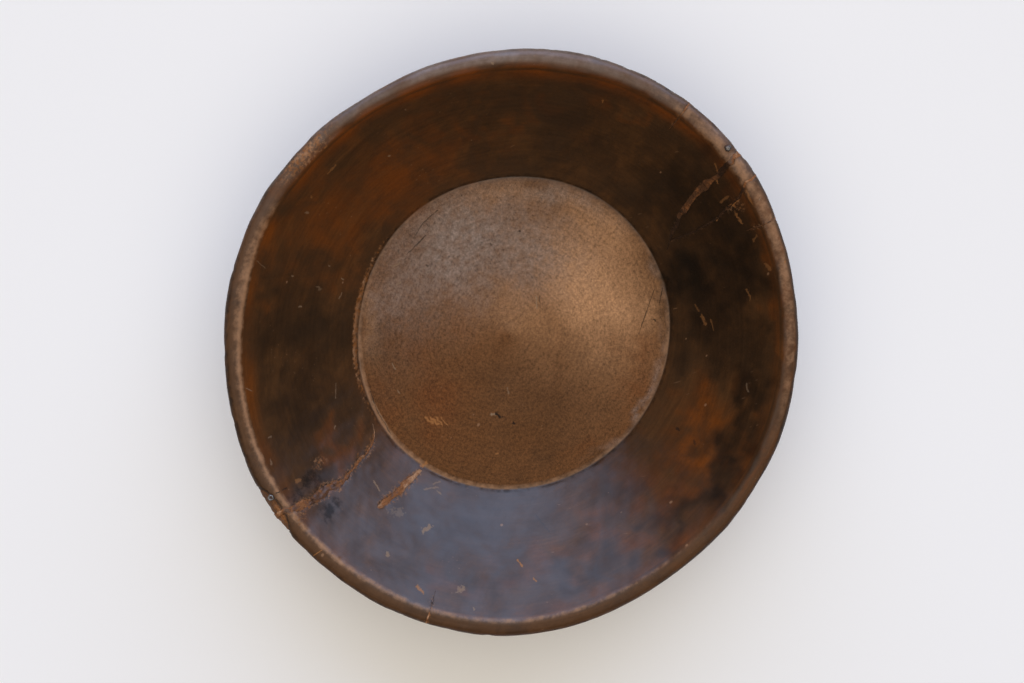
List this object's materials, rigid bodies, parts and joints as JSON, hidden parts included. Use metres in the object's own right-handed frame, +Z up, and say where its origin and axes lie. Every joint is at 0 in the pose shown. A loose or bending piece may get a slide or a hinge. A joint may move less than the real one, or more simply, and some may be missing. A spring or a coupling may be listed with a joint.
{
  "type": "dough bowl",
  "caption": "Wide shallow wooden dough bowl with a flat round floor, flared wall and thick rounded rim, its old splits filled, patched, nailed and stapled.",
  "frame": {"origin": "centre of the flat underside, on the surface that the bowl stands on", "axes": "+Z up out of the mouth; +X along the wood's grain, which is the bowl's long diameter; +Y across the grain"},
  "size_m": [0.46, 0.442, 0.1049],
  "materials": {
    "aged_wood": "dark oiled and handled, satin, scratched and worn lighter along the rim and the floor's edge",
    "patch_wood": "bare orange-brown wood, matt, with dark stains",
    "split_filler": "pale orange putty of glue and wood dust, matt and crumbly",
    "forged_iron": "dark hand-made iron, rubbed bright on top"
  },
  "bodies": {
    "root": {"bowl_body": "aged_wood", "rim_fragment": "aged_wood", "rim_patch": "patch_wood", "crack_fill_left": "split_filler", "crack_fill_lower": "split_filler", "crack_fill_right": "split_filler", "fragment_seam_fill": "split_filler", "rim_split_fill_right": "split_filler", "rim_split_fill_top": "split_filler", "rim_split_fill_bottom": "split_filler", "rim_nails": "forged_iron", "crack_staple": "forged_iron"}
  },
  "joints": []
}
